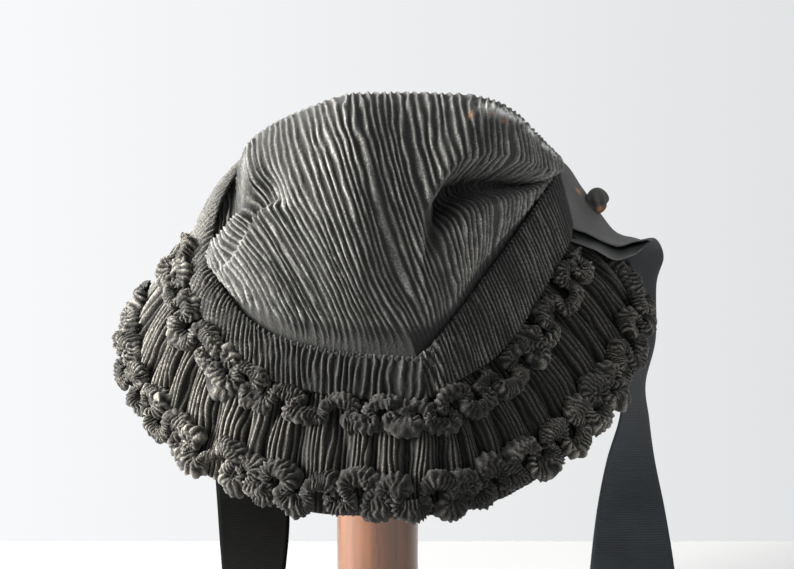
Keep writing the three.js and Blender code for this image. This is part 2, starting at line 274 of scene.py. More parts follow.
# %% Crinkle and fading
FLECKS_PER_METRE = 1500.0
FLECK_RANGE = 0.4, 0.64
PATCH_RANGE = 0.38, 0.68
crinkle_group, start, end = group_of("crape crinkle", {"Crimps per metre": 900.0}, ["Height", "Flecks"])
place = crinkle_group.nodes.new("ShaderNodeTexCoord").outputs["Object"]
crimps = noise_node(crinkle_group, place, start.outputs["Crimps per metre"], 3.0, 0.6)
flecks = noise_node(crinkle_group, place, FLECKS_PER_METRE, 2.0, 0.7)
crinkle_group.links.new(crimps, end.inputs["Height"])
crinkle_group.links.new(spread(crinkle_group, flecks, *FLECK_RANGE), end.inputs["Flecks"])

fading_group, start, end = group_of("faded patches", {"Patches per metre": 22.0}, ["Faded"])
place = fading_group.nodes.new("ShaderNodeTexCoord").outputs["Object"]
patches = noise_node(fading_group, place, start.outputs["Patches per metre"], 4.0, 0.6)
fading_group.links.new(spread(fading_group, patches, *PATCH_RANGE), end.inputs["Faded"])
print("node groups:", crinkle_group.name, "and", fading_group.name)

# %% [markdown]
# ## Crape
#
# The thin crests of the pleats are rubbed and greyed, and their pale colour is also a painted highlight;
# the valleys are painted almost black as painted shade. Each laid piece stores a mark named
# crest, and the finish mixes the two colours by it. The crest mark also carries painted shade in
# creases, hollows and gaps, and painted light towards the sides. On the crown, the mark worn
# shows the pale net where the crape has gone, painted paler still for the light that shines
# through it, and the mark rusty shows where it is stained.

# %% Helpers for finishes
def mix_colour(tree, factor, first, second):
    """A colour mix; colours are sockets or RGB values."""
    node = tree.nodes.new("ShaderNodeMix")
    node.data_type = "RGBA"
    tree.links.new(factor, node.inputs["Factor"])
    for socket, colour in ((node.inputs[6], first), (node.inputs[7], second)):
        if isinstance(colour, tuple):
            socket.default_value = (*colour, 1.0)
        else:
            tree.links.new(colour, socket)
    return node.outputs[2]


def mark_node(tree, name):
    """Reads one of the marks that lay_cloth stored."""
    node = tree.nodes.new("ShaderNodeAttribute")
    node.attribute_name = name
    return node.outputs["Fac"]


def new_finish(name):
    """A new material, with its node tree and its shader."""
    material = bpy.data.materials.new(name)
    material.use_nodes = True
    tree = material.node_tree
    return material, tree, tree.nodes["Principled BSDF"]


def add_bump(tree, shader, height, strength, depth):
    """Raises the shader's surface by a height from 0 to 1, over a depth in metres."""
    bump = tree.nodes.new("ShaderNodeBump")
    bump.inputs["Strength"].default_value = strength
    bump.inputs["Distance"].default_value = depth
    tree.links.new(height, bump.inputs["Height"])
    tree.links.new(bump.outputs["Normal"], shader.inputs["Normal"])


# %% The crape finish
# the pale net where the crape is worn away, painted paler still to stand in for the light of the wall
# shining through it
WORN_NET_WITH_LIGHT_THROUGH = (0.85, 0.84, 0.8)
RUST_STAIN = (0.56, 0.25, 0.11)
CRIMP_DEPTH = 0.0009
CREST_SHARPNESS = 1.4
FLECK_SHARE = 0.75


def crape_finish(name, valley, crest, faded, worn=False):
    """Faded black crape from its valley, crest and faded colours."""
    material, tree, shader = new_finish(name)
    shader.inputs["Roughness"].default_value = 0.88
    shader.inputs["Specular IOR Level"].default_value = 0.25
    shader.inputs["Sheen Weight"].default_value = 0.12
    crinkle = tree.nodes.new("ShaderNodeGroup")
    crinkle.node_tree = crinkle_group
    fading = tree.nodes.new("ShaderNodeGroup")
    fading.node_tree = fading_group
    # the crest mark carries greyed crests together with painted highlight and painted shade
    on_crest = math_node(tree, "POWER", mark_node(tree, "crest"), CREST_SHARPNESS)
    broken = math_node(tree, "MULTIPLY_ADD", crinkle.outputs["Flecks"], FLECK_SHARE)
    broken.node.inputs[2].default_value = 1 - FLECK_SHARE
    light = math_node(tree, "MULTIPLY", on_crest, broken)
    crest_colour = mix_colour(tree, fading.outputs["Faded"], crest, faded)
    colour = mix_colour(tree, light, valley, crest_colour)
    if worn:
        colour = mix_colour(tree, mark_node(tree, "worn"), colour, WORN_NET_WITH_LIGHT_THROUGH)
        colour = mix_colour(tree, mark_node(tree, "rusty"), colour, RUST_STAIN)
    tree.links.new(colour, shader.inputs["Base Color"])
    add_bump(tree, shader, crinkle.outputs["Height"], 1.0, CRIMP_DEPTH)
    return material


crown_crape = crape_finish(
    "crown crape", (0.018, 0.018, 0.0168), (0.4, 0.4, 0.374), (0.56, 0.544, 0.502), worn=True
)
band_crape = crape_finish("band crape", (0.006, 0.006, 0.0056), (0.2, 0.197, 0.18), (0.3, 0.285, 0.26))
curtain_crape = crape_finish(
    "curtain crape", (0.006, 0.0058, 0.0053), (0.3, 0.283, 0.25), (0.44, 0.41, 0.355)
)
ruche_crape = crape_finish(
    "ruche crape", (0.005, 0.0048, 0.0044), (0.3, 0.285, 0.25), (0.42, 0.388, 0.335)
)
brim_crape = crape_finish(
    "brim crape", (0.012, 0.012, 0.011), (0.05, 0.05, 0.046), (0.08, 0.075, 0.068)
)
print("crape finishes made")

# %% [markdown]
# ## The crown
#
# The crown is one pleated cut, drawn over the head from the front to the nape. Each pleat is a
# section from the front seam to the nape seam. Its outline and its height across the crown give
# the soft puffed form. On the left it has sunk into a hollow beside a small flap. On the right
# lies a pocket, where the upper part hangs over the lower one like a lip. All round, the cloth
# tucks in just above the seam, so that the bands stand proud of it.

# %% The crown's soft form
CROWN_SEAT = -1.6
CROWN_TUCK = 2.4
LEFT_SIDE_POINT = 0.5
RIGHT_SIDE_POINT = 0.66
CROWN_EDGE = 0.985
CORNER_REACH = 0.42
CORNER_END = 0.9
CORNER_PARTS = -1, -0.5, 0, 0.5, 1
HOLLOW_DEPTH = 0.85
HOLLOW_EDGE = -0.52
HOLLOW_LEVEL = 0.37
HOLLOW_FADE = 0.09
FREE_FROM = 0.5
# across the crown from left to right, height over the seam in mm
CROWN_HEIGHTS = [
    (-1.0, 6), (-0.82, 24), (-0.7, 36), (-0.6, 51), (-0.45, 65), (-0.3, 74), (-0.18, 79), (0.0, 73.5),
    (0.15, 69), (0.3, 66.5), (0.45, 60), (0.56, 49.5), (0.66, 36), (0.84, 15), (1.0, 5),
]
# along a section from nape to front, share of its height
CROWN_OUTLINE = [(0, 0), (0.02, 0.42), (0.18, 0.84), (0.48, 1.0), (0.73, 0.71), (0.94, 0.31), (1.0, 0)]


def crown_chord(across):
    """The nape end and the front end of each section."""
    share = np.minimum(np.abs(across), 1)
    left = (across < 0)[..., None]
    nape = np.where(
        left,
        curve_through(LEFT_SEAM, LEFT_SIDE_POINT * share),
        curve_through(RIGHT_SEAM, RIGHT_SIDE_POINT * share),
    )
    front = np.where(
        left,
        curve_through(LEFT_SEAM, 1 - (1 - LEFT_SIDE_POINT) * share),
        curve_through(RIGHT_SEAM, 1 - (1 - RIGHT_SIDE_POINT) * share),
    )
    return [inset(end, -CROWN_TUCK) + SEAM_NORMAL * CROWN_SEAT for end in (nape, front)]


def softened_chord(across):
    """The same ends with the seam's corners rounded off."""
    reach = CORNER_REACH * np.maximum(0, 1 - np.abs(across) / CORNER_END)
    ends = [crown_chord(across + part * reach) for part in CORNER_PARTS]
    return sum(e[0] for e in ends) / len(ends), sum(e[1] for e in ends) / len(ends)


def left_hollow(across, up):
    """Share by which the crown has sunk on its left, behind the lower lobe and beside the puff."""
    return smooth((HOLLOW_EDGE - across) / HOLLOW_FADE) * smooth((up - HOLLOW_LEVEL) / HOLLOW_FADE)


def crown_form(across, up):
    """The crown before its creases and pleats; also how free of the seam each point is."""
    nape, front = crown_chord(across)
    soft_nape, soft_front = softened_chord(across)
    outline = curve_through(CROWN_OUTLINE, up)
    free = np.minimum(1, outline[..., 1] / FREE_FROM)[..., None]
    low = nape + (soft_nape - nape) * free
    high = front + (soft_front - front) * free
    height = read_table(CROWN_HEIGHTS, 1, across) * (1 - HOLLOW_DEPTH * left_hollow(across, up))
    rise = outline[..., 1] * height
    return low + (high - low) * outline[..., :1] + SEAM_NORMAL * rise[..., None], free[..., 0]


# %% The crown's creases
# across, up the section, depth of the crease in mm, swell of its lip in mm, droop of the lip in mm
RIGHT_POCKET = [
    (0.10, 0.27, 0, 0, 0), (0.15, 0.32, 6, 1, 1), (0.19, 0.35, 15, 3, 2), (0.27, 0.375, 20, 4, 4),
    (0.45, 0.365, 18, 4, 4), (0.68, 0.345, 15, 3.5, 4), (0.9, 0.3, 10, 2, 3), (1.0, 0.27, 0, 0, 0),
]
# across, up the section, depth of the crease in mm, swell of its lip in mm
LEFT_FLAP = [
    (-1.0, 0.2, 0, 0), (-0.78, 0.25, 0, 0), (-0.68, 0.28, 3.5, 1.5), (-0.58, 0.32, 5, 2),
    (-0.52, 0.36, 7, 2.5), (-0.46, 0.375, 6, 2), (-0.38, 0.36, 0, 0),
]
CREASE_STEP = 0.02


def crease(off, deep, lip, pressed_width, lip_width):
    """How far a crease presses the cloth in on its near side, less the swell on its far side."""
    far_side = smooth(off / CREASE_STEP)
    pressed = deep * np.exp(-((np.minimum(off, 0) / pressed_width) ** 4)) * (1 - far_side)
    swollen = lip * far_side * np.exp(-((np.maximum(off, 0) / lip_width) ** 2))
    return pressed - swollen


# %% The crown's dented form
LEAN = 0.24
SLACK = 1.6
SIDE_FADE = 0.12
POCKET_WIDTHS = 0.075, 0.09
FLAP_WIDTHS = 0.05, 0.07
SEAM_GROOVE = 5.5
GROOVE_AT = 0.07
LIP_FALL = np.array([0, -0.35, -0.94])
LIP_WIDTH = 0.05
CROWN_COLUMNS, CROWN_ROWS = 500, 96
crown, along, up = cut_cloth("crown_cloth", CROWN_COLUMNS, CROWN_ROWS)
# more columns where the cloth drops into the left hollow
traced = np.interp(along, [0, 0.165, 0.325, 1], [-CROWN_EDGE, -0.64, -0.48, CROWN_EDGE])
lean = LEAN * smooth((traced + 0.98) / 0.4) * (1 - 0.65 * smooth((traced - 0.1) / 0.35))
lean *= smooth((0.98 - traced) / 0.25)
across = traced + lean * (1 - smooth(up / 0.5))
form, free = crown_form(across, up)
inwards = CROWN_CORE - form
inwards /= np.linalg.norm(inwards, axis=1, keepdims=True)
loose = free * np.clip((1 - np.abs(across)) / SIDE_FADE, 0, 1)
pocket = [read_table(RIGHT_POCKET, column, across) for column in (1, 2, 3, 4)]
pocket_level, pocket_depth, lip_swell, lip_droop = pocket
flap_level, flap_depth, flap_swell = (read_table(LEFT_FLAP, column, across) for column in (1, 2, 3))
above_pocket = up - pocket_level
dent = crease(above_pocket, pocket_depth, lip_swell, *POCKET_WIDTHS)
dent += crease(flap_level - up, flap_depth, flap_swell, *FLAP_WIDTHS)
dent += SLACK * drift(along, up, 7, 5, seed=3)
tucked = SEAM_GROOVE * up / GROOVE_AT * np.exp(1 - up / GROOVE_AT)
form = form + inwards * (dent * loose + tucked)[:, None]
overhang = smooth(above_pocket / CREASE_STEP + 0.3)
overhang *= np.exp(-((np.maximum(above_pocket, 0) / LIP_WIDTH) ** 2))
form = form + LIP_FALL * (overhang * lip_droop * loose)[:, None]

# %% The crown's pleats
CROWN_PLEAT_PITCH = 3.25
CROWN_PLEAT_DEPTH = 1.6
PUFF_LEVEL, SUNK_LEVEL = 0.32, 0.62
HOLLOW_SIDE = -0.46
JOG_LEVEL = 0.425
pleats_across = np.linspace(-CROWN_EDGE, CROWN_EDGE, 800)
pleat_width = CROWN_PLEAT_PITCH * (1 + 0.5 * smooth((pleats_across - 0.05) / 0.3))


def pleat_count(level, places):
    """Pleats between the hollow's side and each place, along a line at one level up the crown."""
    line = crown_form(pleats_across, np.full_like(pleats_across, level))[0]
    so_far = np.cumsum(np.gradient(length_along(line)) / pleat_width)
    return np.interp(places, pleats_across, so_far) - np.interp(HOLLOW_SIDE, pleats_across, so_far)


sunk = smooth((up - 0.4) / 0.06) * (traced < HOLLOW_SIDE)
phase = pleat_count(PUFF_LEVEL, traced)
phase += sunk * (pleat_count(SUNK_LEVEL, traced) - phase)
phase += 0.45 * drift(along, up, 34, 5, seed=11) + 0.16 * drift(along, up, 80, 16, seed=12)
phase += 0.14 * drift(along, up, 150, 48, seed=18)
# above the puff the pleats have slipped sideways a little
jog = smooth((up - JOG_LEVEL) / 0.02) - 0.5
phase += 0.3 * jog * (across > -0.5) * drift(along, up, 12, 2, seed=13)
crest = pleat_ridge(phase, 2.0)
flattened = np.exp(-(((up - 0.43) / 0.025) ** 2)) * smooth((HOLLOW_SIDE - 0.04 - across) / 0.05)
strength = 0.85 + 0.3 * drift(along, up, 30, 9, seed=14) + 0.25 * drift(along, up, 120, 40, seed=19)
# towards the top the pleats are shallower and their crests are painted darker, as painted shade
strength *= (1 - flattened) * (1 - 0.2 * smooth((up - 0.36) / 0.14))
pleat_lift = CROWN_PLEAT_DEPTH * strength * (crest - 0.4) * smooth(free * 1.4)
pleat_lift += 0.12 * drift(along, up, 300, 120, seed=15)
crown_points = form + normals_of(form, CROWN_COLUMNS) * pleat_lift[:, None]

# %% Wear and shade on the crown
CROWN_WALL = 0.9
# across, up the section
WORN_LINE = [
    (0.3, 0.5), (0.45, 0.505), (0.6, 0.495), (0.7, 0.475), (0.8, 0.455), (0.9, 0.42), (1.0, 0.38),
]
WORN_WIDTH = 0.026
# across, up the section, half width across, half width up
RUST_SPOTS = [(0.30, 0.472, 0.012, 0.007), (0.43, 0.475, 0.016, 0.005), (0.49, 0.462, 0.02, 0.006)]
FULL_POCKET = 9
worn_edge = np.exp(-(((up - read_table(WORN_LINE, 1, across)) / WORN_WIDTH) ** 2))
worn_edge *= smooth((across - 0.3) / 0.15)
worn = np.clip(worn_edge * (0.75 + 1.2 * drift(along, up, 200, 70, seed=16)), 0, 1)
rusty = sum(np.exp(-(((across - a) / w) ** 2) - ((up - u) / h) ** 2) for a, u, w, h in RUST_SPOTS)
rusty = np.clip(rusty * (0.6 + 0.6 * drift(along, up, 200, 90, seed=17)), 0, 0.9)
# painted shade: the crest mark is darkened in the slot under the pocket's lip, in the left hollow and
# along the seam
shade = np.exp(-((np.minimum(above_pocket, 0) / 0.1) ** 6)) * (1 - smooth(above_pocket / 0.015))
shade *= np.clip(pocket_depth / FULL_POCKET, 0, 1)
shade = np.maximum(shade, 0.6 * smooth(1.6 * left_hollow(across, up) - 0.4))
seam_reach = 0.04 + 0.03 * smooth((0.25 - across) / 0.4) + 0.05 * smooth((across - 0.3) / 0.3)
shade = np.maximum(shade, 0.95 * (1 - smooth((up - seam_reach) / 0.035)))
crest *= strength * (1 - 0.96 * shade)
lay_cloth(crown, crown_points, CROWN_WALL, crest=crest, worn=worn, rusty=rusty)
dress(crown, "crown", crown_crape)

# %% [markdown]
# ## The bands
#
# Two pleated strips follow the seam and meet at the nape. Their pleats run across the strip and
# lean as they go out. The right strip is wider and its pleats are finer. Both strips rise towards
# the seam and roll over there, so that they stand in front of the crown.

# %% The two bands
BAND_COLUMNS, BAND_ROWS = 760, 18
BAND_WALL = 1.0
BAND_BOW = 1.8
BAND_LIFT = 4.7
BAND_TUCK = 0.8
NAPE_TUCK = -0.3
BAND_TURN = 0.16
BAND_ROLL = 3.6
BAND_FRONT_ROLL = 4.0
BAND_ENDS = 0.002, 0.998
OVERLAP_WAY = np.array([1.0, -0.5, 0.0])


def band_base(seam, edge, place, up):
    """A strip without pleats; place runs from the nape to the front, up from outer edge to seam."""
    outer = curve_through(edge, place)
    tuck = NAPE_TUCK + (BAND_TUCK - NAPE_TUCK) * smooth((place - 0.2) / 0.2)
    inner = inset(curve_through(seam, place), tuck[:, None])
    flat_up = np.clip((up - BAND_TURN) / (1 - 2 * BAND_TURN), 0, 1)
    outer_turn = np.maximum(0, 1 - up / BAND_TURN)
    inner_turn = np.maximum(0, 1 - (1 - up) / BAND_TURN)
    base = outer + (inner - outer) * (flat_up + 0.1 * outer_turn - 0.06 * inner_turn)[:, None]
    rise = BAND_BOW * np.sin(math.pi * flat_up) + BAND_LIFT * flat_up
    rise -= BAND_ROLL * (outer_turn**1.5 + inner_turn**1.5)
    rise -= BAND_FRONT_ROLL * smooth((place - 0.66) / 0.12) * outer_turn
    return base + SEAM_NORMAL * rise[:, None]


def make_band(
    name, seam, edge, pitch, depth, lean, nape_lean, towards_front, overlap_at_nape, grey, pale, seed
):
    """One pleated strip; grey is the tone of its crests and pale that of its smooth front end."""
    band, along, up = cut_cloth(name + "_cloth", BAND_COLUMNS, BAND_ROWS)
    start, end = BAND_ENDS
    place = start + (end - start) * (along if towards_front else 1 - along)
    base = band_base(seam, edge, place, up)
    overlap = overlap_at_nape * np.exp(-((place / 0.03) ** 2))
    base += OVERLAP_WAY * overlap[:, None]
    shares = np.linspace(0, 1, 600)
    run = np.interp(place, shares, length_along(curve_through(edge, shares)))
    slant = nape_lean + (lean - nape_lean) * smooth((place - 0.06) / 0.34)
    phase = (run + slant * (1 - up)) / pitch
    phase += 0.4 * drift(along, up, 40, 2, seed) + 0.2 * drift(along, up, 120, 6, seed + 1)
    crest = pleat_ridge(phase, 1.9)
    strength = 0.8 + 0.45 * drift(along, up, 70, 4, seed + 2)
    strength *= 1 - 0.6 * smooth((place - 0.45) / 0.15)
    rounded = 0.55 + 0.45 * smooth(up / 0.3)
    lift = depth * strength * rounded * (crest - 0.5)
    points = base + normals_of(base, BAND_COLUMNS) * lift[:, None]
    points += SEAM_NORMAL * (0.8 * drift(along, up, 18, 1, seed + 3) * (1 - up))[:, None]
    smooth_end = pale * smooth((place - 0.4) / 0.12) * (0.6 + 0.4 * crest)
    # painted light: crests are painted lighter towards the sides, most of all on the left side, which
    # faces the light
    lit_side = smooth((-25 - points[:, 0]) / 45)
    tone = grey + 0.42 * painted_side_light(points) + 0.7 * lit_side
    lay_cloth(band, points, BAND_WALL, crest=np.maximum(crest * strength, smooth_end) * tone)
    dress(band, name, band_crape)
    return band


band_left = make_band(
    "band_left", LEFT_SEAM, LEFT_BAND, pitch=3.6, depth=1.5, lean=17.0, nape_lean=-5.0,
    towards_front=False, overlap_at_nape=1.6, grey=0.36, pale=0.8, seed=21,
)
band_right = make_band(
    "band_right", RIGHT_SEAM, RIGHT_BAND, pitch=2.9, depth=1.1, lean=5.0, nape_lean=-12.0,
    towards_front=True, overlap_at_nape=-1.2, grey=1.1, pale=0.0, seed=31,
)

# %% [markdown]
# ## The neck curtain
#
# The curtain is a deep frill gathered into the band. It is laid from the band's edge to the hem
# with a soft bow. Broad gathers carry bundles of fine pleats, as the photograph shows.

# %% The curtain
CURTAIN_TOP = LEFT_BAND[5::-1] + RIGHT_BAND[1:6]
CURTAIN_HEM = LEFT_HEM[5::-1] + RIGHT_HEM[1:6]
CURTAIN_BOW = 4.0
CURTAIN_DROP = 2.2
CURTAIN_TUCK = 5.2
CURTAIN_REACH = 1.19
HEM_SHIFT = 0.036


def curtain_form(along, down):
    """The curtain without gathers, from its left end to its right end and down to the hem."""
    edge = curve_through(CURTAIN_TOP, along)
    top = inset(edge, CURTAIN_TUCK) - SEAM_NORMAL * CURTAIN_DROP
    shift = HEM_SHIFT * smooth(along / 0.15) * (1 - smooth((along - 0.55) / 0.3))
    hem = curve_through(CURTAIN_HEM, along + shift)
    outwards = (hem - top) * np.array([1, 1, 0])
    outwards /= np.linalg.norm(outwards, axis=-1, keepdims=True)
    bow = CURTAIN_BOW * np.sin(math.pi * down)
    return top + (hem - top) * down[..., None] + outwards * bow[..., None]


# %% The curtain's gathers
CURTAIN_COLUMNS, CURTAIN_ROWS = 1000, 34
CURTAIN_WALL = 0.8
GATHERS, GATHER_DEPTH = 26, 2.0
FINE_PLEATS, FINE_DEPTH = 160, 1.35
curtain, along, up = cut_cloth("curtain_cloth", CURTAIN_COLUMNS, CURTAIN_ROWS)
base = curtain_form(along, CURTAIN_REACH * (1 - up))
swell = np.cos(2 * math.pi * (GATHERS * along + 0.35 * drift(along, up, 24, 2, seed=41)))
gather = 1 - 2 * (0.5 - 0.5 * swell) ** 2.2
slack = 0.35 + 0.65 * np.sin(math.pi * (1 - up))
phase = FINE_PLEATS * along + 0.5 * drift(along, up, 60, 3, seed=42)
phase += 0.25 * drift(along, up, 150, 8, seed=43)
fine = pleat_ridge(phase, 1.35)
strength = 0.92 + 0.3 * drift(along, up, 70, 4, seed=44)
lift = GATHER_DEPTH * slack * gather + FINE_DEPTH * strength * (fine - 0.4)
curtain_points = base + normals_of(base, CURTAIN_COLUMNS) * lift[:, None]
# painted light and shade: crests are painted lighter on the left side, which faces the light, and darker
# in the gaps between the gathers
painted_left_light = 0.58 + 0.74 * painted_side_light(base) * (base[:, 0] < 0)
crest = np.clip(fine * strength * (0.66 + 0.34 * gather), 0, 1.2) * painted_left_light
lay_cloth(curtain, curtain_points, CURTAIN_WALL, crest=crest)
dress(curtain, "curtain", curtain_crape)

# %% [markdown]
# ## The ruches
#
# A ruche is a strip of crape, finely pleated, rolled and pushed into loops. The rolled strip is
# laid along the curtain: it swings from side to side so that its loops touch, and the fine
# pleats fan out round every loop. No two loops are the same size.

# %% Paths for the ruches
PATH_STEP = 1e-3


def along_rows(points, columns):
    """Unit direction of each row of a laid cut."""
    step = np.gradient(points.reshape(-1, columns + 1, 3), axis=1).reshape(-1, 3)
    return step / np.linalg.norm(step, axis=1, keepdims=True)


def curtain_path(path, share):
    """Points and outward directions along a path of places on the curtain, and its length."""
    line = curve_through(path, np.linspace(0, 1, 600))
    run = length_along(curtain_form(line[:, 0], line[:, 1]))
    along = np.interp(share * run[-1], run, line[:, 0])
    down = np.interp(share * run[-1], run, line[:, 1])
    behind, ahead = np.maximum(along - PATH_STEP, 0), np.minimum(along + PATH_STEP, 1)
    across = curtain_form(ahead, down) - curtain_form(behind, down)
    fall = curtain_form(along, down + PATH_STEP) - curtain_form(along, down - PATH_STEP)
    out = np.cross(fall, across)
    return curtain_form(along, down), out / np.linalg.norm(out, axis=1, keepdims=True), run[-1]


# %% The two ruches
RUCHE_ROWS = 10
CELLS_TO_A_RIDGE = 5
RUCHE_WALL = 0.4
RUCHE_FOOT = 1.0
RUCHE_END = 5
PETAL_LEAN = 1.4
LOOP_PINCH = 0.17


def make_ruche(name, path, loops, swing, roll, ridges, seed):
    """A rolled strip of that many loops along a path on the curtain."""
    columns = loops * ridges * CELLS_TO_A_RIDGE
    ruche, along, up = cut_cloth(name + "_cloth", columns, RUCHE_ROWS)
    level = np.zeros_like(up)
    at, out, length = curtain_path(path, along)
    run = along_rows(at, columns)
    fall = np.cross(run, out)
    # the line of the loops
    turn = 2 * math.pi * (loops * along + 0.3 * drift(along, level, loops, 1, seed))
    size = 1 + 0.35 * drift(along, level, loops * 2, 1, seed + 1)
    bend = np.sin(turn)
    height = RUCHE_FOOT + roll + 1.6 * drift(along, level, loops * 3, 1, seed + 2)
    sway = swing * size * bend + 0.9 * drift(along, level, loops * 7, 1, seed + 3)
    wander = 0.7 * drift(along, level, loops * 7, 1, seed + 8)
    wander -= LOOP_PINCH * length / loops * size * np.sin(2 * turn)
    middle_line = at + out * height[:, None] + fall * sway[:, None] + run * wander[:, None]
    side = np.cross(out, along_rows(middle_line, columns))
    side /= np.linalg.norm(side, axis=1, keepdims=True)
    outer = bend * np.sum(side * fall, axis=1)
    # the rolled and pleated strip round that line
    phase = loops * ridges * along + 0.9 * drift(along, up, loops * 9, 4, seed + 4)
    fine = pleat_ridge(phase, 1.5)
    strength = 0.95 + 0.35 * drift(along, up, loops * 8, 3, seed + 5)
    angle = math.pi * (up - 0.5 + 0.14 * outer)
    flare = smooth((2 * up - 1) * outer)
    crumple = 1 + 0.34 * drift(along, up, loops * 5, 3, seed + 6)
    crumple += 0.3 * drift(along, up, loops * 13, 5, seed + 7)
    closed = smooth(np.minimum(along, 1 - along) * length / RUCHE_END)
    frill = (0.9 + 0.5 * flare) * strength * (fine - 0.45)
    petal = (0.75 + 0.45 * np.abs(bend)) * (1 + 0.5 * flare)
    radius = (roll * crumple * petal * (0.6 + 0.4 * size) + frill) * (0.15 + 0.85 * closed)
    points = middle_line + out * (1.2 * radius * np.cos(angle))[:, None]
    points += side * (1.05 * radius * np.sin(angle))[:, None]
    points += fall * (PETAL_LEAN * bend * (0.5 + 0.5 * np.cos(angle)) * closed)[:, None]
    # painted light and shade: crests are painted lightest on top of each roll and lighter towards the
    # sides, darker on the inner side of each bend, and the last factor varies the tone at random
    inner_shade = np.clip(-np.sin(angle) * outer, 0, 1)
    painted_light_and_patches = (0.3 + 0.7 * smooth(0.7 + np.cos(angle))) * (1 - 0.75 * inner_shade)
    painted_light_and_patches *= 0.36 + 0.74 * painted_side_light(points)
    painted_light_and_patches *= 0.9 + 0.45 * drift(along, up, loops * 14, 5, seed + 9)
    lay_cloth(ruche, points, RUCHE_WALL, crest=fine * strength * painted_light_and_patches)
    dress(ruche, name, ruche_crape)
    return ruche


# along the curtain from left to right, down from its top to its hem
CROWN_RUCHE_PATH = [
    (0.02, 0.12), (0.06, 0.16), (0.11, 0.2), (0.3, 0.23), (0.5, 0.23), (0.7, 0.23), (0.89, 0.2),
]
HEM_RUCHE_PATH = [
    (0.028, 0.76), (0.036, 0.9), (0.06, 0.99), (0.12, 1.01), (0.25, 0.97), (0.4, 0.99), (0.5, 0.99),
    (0.6, 0.98), (0.75, 0.98), (0.88, 0.97), (0.95, 0.94), (0.988, 0.8), (0.99, 0.55),
]
ruche_crown = make_ruche(
    "ruche_crown", CROWN_RUCHE_PATH, loops=17, swing=3.5, roll=2.7, ridges=22, seed=51
)
ruche_hem = make_ruche(
    "ruche_hem", HEM_RUCHE_PATH, loops=26, swing=3.9, roll=2.9, ridges=24, seed=61
)

# %% [markdown]
# ## The brim
#
# The poke brim is out of sight in the photograph, so it is plain: crape stretched over a stiff
# shape between its root under the bands and a bound front edge.

# %% The brim
BRIM_EDGE = [
    (-74, 56, 166), (-84, 74, 196), (-82, 90, 230), (-58, 103, 260), (9, 112, 275),
    (72, 103, 260), (93, 90, 230), (96, 74, 196), (88, 56, 166),
]
BRIM_DROP = 1.8
BRIM_INSET = 6.5
BRIM_RIGHT_END = 0.46


def brim_root(along):
    """The brim's root under the bands, from the left side over the front to the right."""
    left = curve_through(LEFT_SEAM, LEFT_SIDE_POINT + (1 - LEFT_SIDE_POINT) * 2 * along)
    right = curve_through(RIGHT_SEAM, 1 - (1 - BRIM_RIGHT_END) * (2 * along - 1))
    root = np.where((along < 0.5)[:, None], left, right)
    return inset(root, BRIM_INSET) - SEAM_NORMAL * BRIM_DROP


def brim_form(along, forward):
    """The brim's upper face: straight from root to edge."""
    return brim_root(along) + (curve_through(BRIM_EDGE, along) - brim_root(along)) * forward[:, None]


# %% The brim's cloth
BRIM_COLUMNS, BRIM_ROWS = 260, 40
BRIM_WALL = 1.6
BRIM_PLEATS, BRIM_PLEAT_DEPTH = 150, 0.35
BINDING_FROM, BINDING_STEP, BINDING_LIFT = 0.955, 0.02, 0.9
brim, along, up = cut_cloth("brim_cloth", BRIM_COLUMNS, BRIM_ROWS)
base = brim_form(along, up)
radiating = pleat_ridge(BRIM_PLEATS * along + 0.4 * drift(along, up, 50, 2, seed=71), 1.0)
bound = smooth((up - BINDING_FROM) / BINDING_STEP)
lift = BRIM_PLEAT_DEPTH * (radiating - 0.5) * (1 - up) + BINDING_LIFT * bound
brim_points = base + normals_of(base, BRIM_COLUMNS) * lift[:, None]
lay_cloth(brim, brim_points, BRIM_WALL, crest=0.4 + 0.5 * radiating * (1 - up) + 0.2 * bound)
dress(brim, "brim", brim_crape)

# %% [markdown]
# ## Ribbon
#
# The ribbon is ribbed silk, smooth and dull beside the crape. Fine ribs run across it and a
# narrow woven selvedge borders both edges. It lies over the brim, is drawn out over the end of
# the curtain on the right, and two ties hang from it.

# %% The ribbon finish
RIBS_PER_MM = 1.25
RIB_DEPTH = 0.0002
# painted light: the tie's turned-down edge is painted pale, standing in for light falling on it
FOLD_PAINTED_LIGHT = (0.2, 0.2, 0.19)


def ribbon_finish(name, ground, rib, length, gloss, stained=False, folded=False):
    """Ribbed silk from two colours, for a piece of about that length in mm."""
    material, tree, shader = new_finish(name)
    shader.inputs["Roughness"].default_value = 0.62
    shader.inputs["Specular IOR Level"].default_value = gloss
    cloth = tree.nodes.new("ShaderNodeSeparateXYZ")
    tree.links.new(tree.nodes.new("ShaderNodeTexCoord").outputs["UV"], cloth.inputs[0])
    ribs = length * RIBS_PER_MM
    turn = math_node(tree, "MULTIPLY", cloth.outputs["X"], 2 * math.pi * ribs)
    height = spread(tree, math_node(tree, "SINE", turn), -1.0, 1.0)
    fading = tree.nodes.new("ShaderNodeGroup")
    fading.node_tree = fading_group
    tone = math_node(tree, "MULTIPLY_ADD", fading.outputs["Faded"], 0.5)
    tree.links.new(math_node(tree, "MULTIPLY", height, 0.5), tone.node.inputs[2])
    colour = mix_colour(tree, tone, ground, rib)
    if stained:
        colour = mix_colour(tree, mark_node(tree, "rusty"), colour, RUST_STAIN)
    if folded:
        colour = mix_colour(tree, mark_node(tree, "fold"), colour, FOLD_PAINTED_LIGHT)
    tree.links.new(colour, shader.inputs["Base Color"])
    add_bump(tree, shader, height, 0.5, RIB_DEPTH)
    return material


